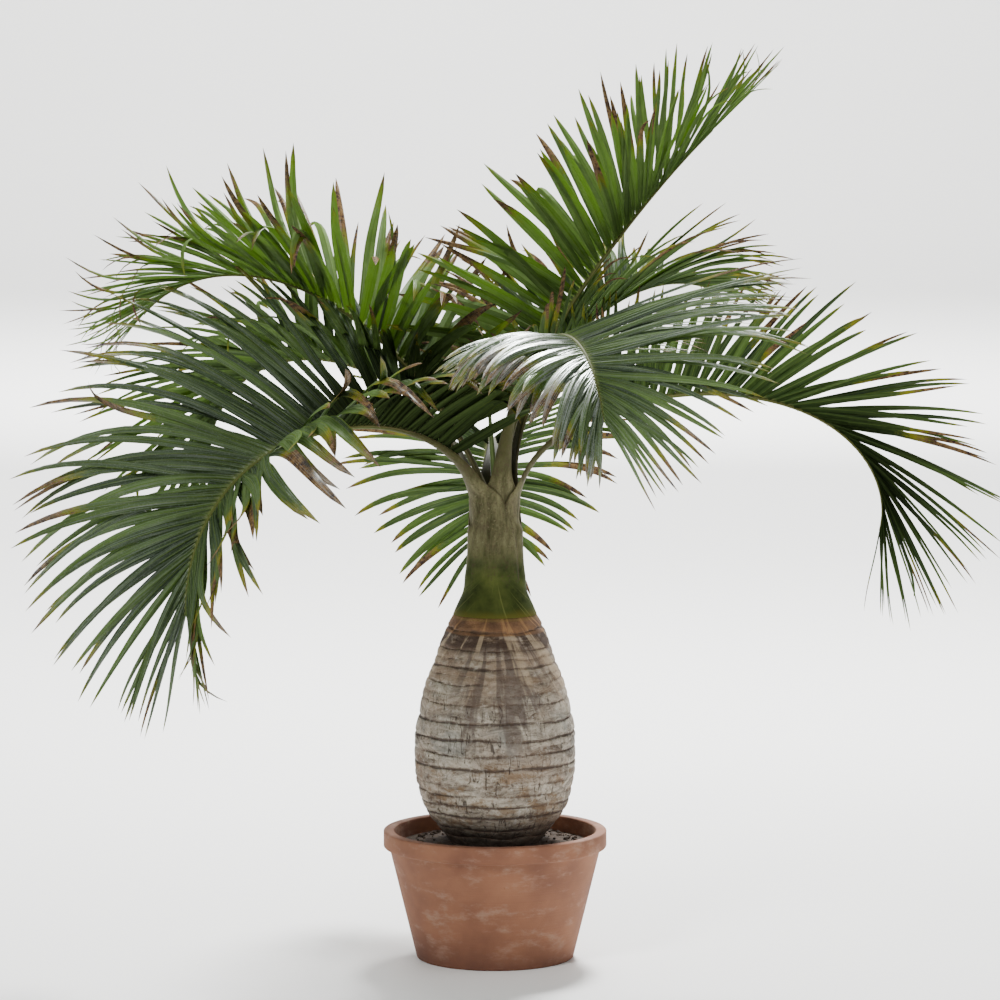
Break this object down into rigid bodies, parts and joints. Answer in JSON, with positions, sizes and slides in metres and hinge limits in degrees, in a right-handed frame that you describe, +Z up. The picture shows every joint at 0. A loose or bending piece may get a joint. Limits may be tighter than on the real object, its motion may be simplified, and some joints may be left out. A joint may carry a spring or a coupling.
{
  "type": "potted bottle palm",
  "caption": "Feather palm with a bottle-shaped ringed trunk, a smooth green crownshaft and arching fronds, in a plain round tapered pot.",
  "frame": {"origin": "middle of the pot's flat base", "axes": "+Z up along the pot and trunk, -Y towards the viewer of the picture, +X to its right"},
  "size_m": [1.9221, 1.744, 1.8392],
  "materials": {
    "pot_clay": "plain fired clay, matt",
    "potting_soil": "crumbly and matt",
    "trunk_bark": "grey bark, ringed and cracked",
    "leaf_bases": "satin green with grey scurf",
    "young_leaf": "satin bright green",
    "fronds": "satin dark green leaflets on paler stalks"
  },
  "bodies": {
    "root": {"pot": "pot_clay", "soil": "potting_soil", "trunk": "trunk_bark", "crownshaft": "leaf_bases", "spear_leaf": "young_leaf", "frond_front_left": "fronds", "frond_high_left": "fronds", "frond_back_left": "fronds", "frond_upright": "fronds", "frond_front": "fronds", "frond_right": "fronds", "frond_back_right": "fronds", "frond_back": "fronds"}
  },
  "joints": []
}
